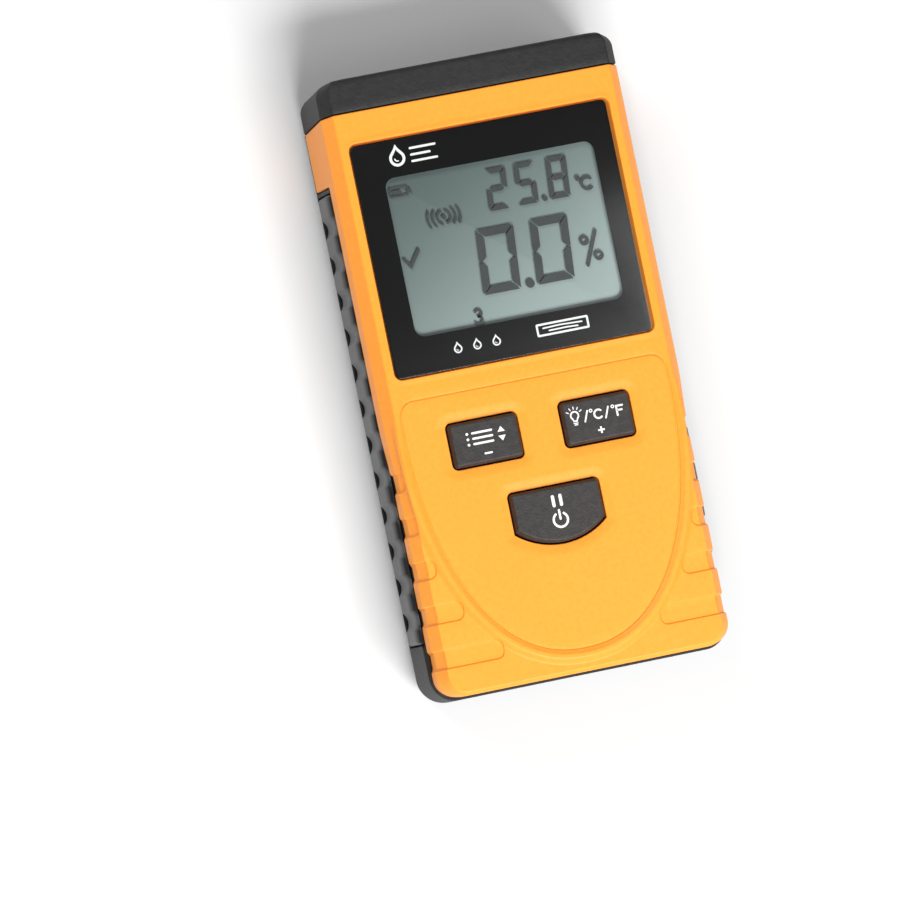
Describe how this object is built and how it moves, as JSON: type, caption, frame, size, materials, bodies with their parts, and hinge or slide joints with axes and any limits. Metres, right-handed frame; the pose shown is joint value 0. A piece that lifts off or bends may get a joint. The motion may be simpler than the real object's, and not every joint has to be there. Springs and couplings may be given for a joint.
{
  "type": "pinless wood moisture meter",
  "caption": "Handheld pinless wood moisture meter with a large display window, push keys, rear sensing pad, ribbed side grips and a sliding battery door.",
  "frame": {"origin": "centre of the footprint on the surface that the meter lies on, display face up", "axes": "+Y along the meter towards the sensing head, +Z out of the display face, +X to the right of the display"},
  "size_m": [0.0698, 0.139, 0.028],
  "materials": {
    "yellow_shell": "satin",
    "black_shell": "fine spark texture",
    "grip_rubber": "smooth",
    "foam": "open cell",
    "window": "polished, printed behind",
    "display_glass": "satin polariser",
    "white_plastic": "satin",
    "silicone": "matt",
    "circuit_board": "solder mask",
    "component_black": "moulded",
    "steel": "nickel plated",
    "screw_steel": "zinc plated",
    "key_plastic": "fine spark texture",
    "carbon": "matt",
    "cell_jacket": "printed film",
    "copper": "bare copper",
    "lead_yellow": "insulation",
    "lead_red": "insulation",
    "lead_black": "insulation"
  },
  "bodies": {
    "housing": {"front_cover": "yellow_shell", "back_cover": "black_shell", "head_cap": "black_shell", "side_grip_left": "grip_rubber", "side_grip_right": "grip_rubber", "display_window": "window", "window_gasket": "foam", "lcd_panel": "display_glass", "lcd_frame": "white_plastic", "backlight_panel": "white_plastic", "backlight_led": "white_plastic", "zebra_strip": "silicone", "main_board": "circuit_board", "mcu_chip": "component_black", "amplifier_chip": "component_black", "crystal": "steel", "capacitor": "component_black", "buzzer": "component_black", "keypad_mat": "silicone", "battery_1": "cell_jacket", "battery_2": "cell_jacket", "battery_3": "cell_jacket", "contact_positive": "steel", "contact_negative": "steel", "contact_bridge_head": "steel", "contact_bridge_tail": "steel", "sensor_pad": "black_shell", "sensor_plate": "copper", "sensor_foam": "foam", "sensor_lead": "lead_yellow", "lead_red": "lead_red", "lead_black": "lead_black", "case_screw_1": "screw_steel", "case_screw_2": "screw_steel", "case_screw_3": "screw_steel", "case_screw_4": "screw_steel", "board_screw_1": "screw_steel", "board_screw_2": "screw_steel", "board_screw_3": "screw_steel", "board_screw_4": "screw_steel"},
    "select_button": {"key_select": "key_plastic", "pill_select": "carbon"},
    "light_button": {"key_light": "key_plastic", "pill_light": "carbon"},
    "hold_button": {"key_hold": "key_plastic", "pill_hold": "carbon"},
    "sliding_door": {"battery_door": "black_shell", "door_foam": "foam"}
  },
  "joints": [
    {"name": "key_select_press", "type": "slide", "parent": "housing", "child": "select_button", "axis": [0, 0, -1], "range_m": [0, 0.0008], "stiffness_N_per_m": 900},
    {"name": "key_light_press", "type": "slide", "parent": "housing", "child": "light_button", "axis": [0, 0, -1], "range_m": [0, 0.0008], "stiffness_N_per_m": 900},
    {"name": "key_hold_press", "type": "slide", "parent": "housing", "child": "hold_button", "axis": [0, 0, -1], "range_m": [0, 0.0008], "stiffness_N_per_m": 900},
    {"name": "battery_door_slide", "type": "slide", "parent": "housing", "child": "sliding_door", "axis": [0, -1, 0], "range_m": [0, 0.058]}
  ]
}
